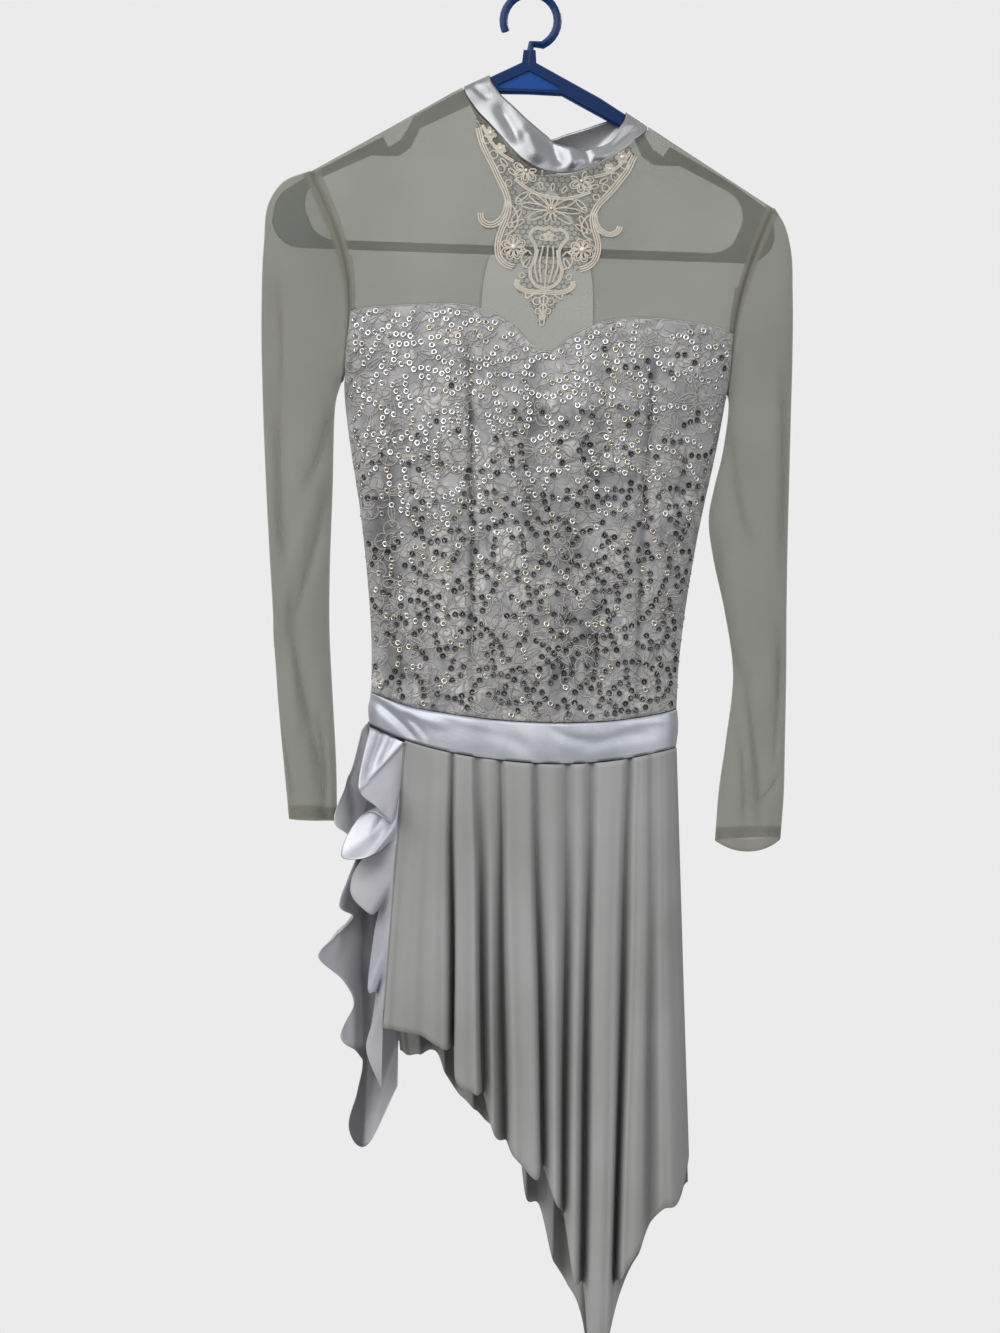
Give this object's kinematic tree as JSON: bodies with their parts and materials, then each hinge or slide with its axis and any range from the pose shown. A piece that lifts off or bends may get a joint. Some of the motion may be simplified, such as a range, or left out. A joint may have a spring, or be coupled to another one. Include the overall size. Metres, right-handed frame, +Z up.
{
  "type": "lyrical dance dress on a hanger",
  "caption": "Long-sleeved sequinned dance dress with sheer yoke, lace necklace, satin neck and waist bands, side ruffle and slanting hem, hung on a plastic hanger.",
  "frame": {"origin": "where a rail touches the inside of the hook at its top, in the hanger's middle plane", "axes": "+Z up, +X to the viewer's right seen from the front, -Y out of the dress's front"},
  "size_m": [0.4475, 0.0969, 1.155],
  "materials": {
    "blue_plastic": "moulded, slightly glossy blue",
    "satin": "silver satin with a lavender cast",
    "pearl": "pearl",
    "lace": "corded cream guipure lace",
    "sheer_mesh": "sheer matt grey net",
    "skirt_mesh": "soft matt grey knitted mesh",
    "sequin_lace": "corded lace over a grey lining, with silver sequins"
  },
  "bodies": {
    "root": {"hanger": "blue_plastic", "collar": "satin", "collar_button": "pearl", "lace_necklace": "lace", "yoke_front": "sheer_mesh", "yoke_back_left": "sheer_mesh", "yoke_back_right": "sheer_mesh", "sleeve_left": "sheer_mesh", "sleeve_right": "sheer_mesh", "bodice_front": "sequin_lace", "bodice_back": "sequin_lace", "waistband_front": "satin", "waistband_back": "satin", "skirt_front": "skirt_mesh", "skirt_back": "skirt_mesh", "ruffle_front": "satin", "ruffle_side": "satin"}
  },
  "joints": []
}
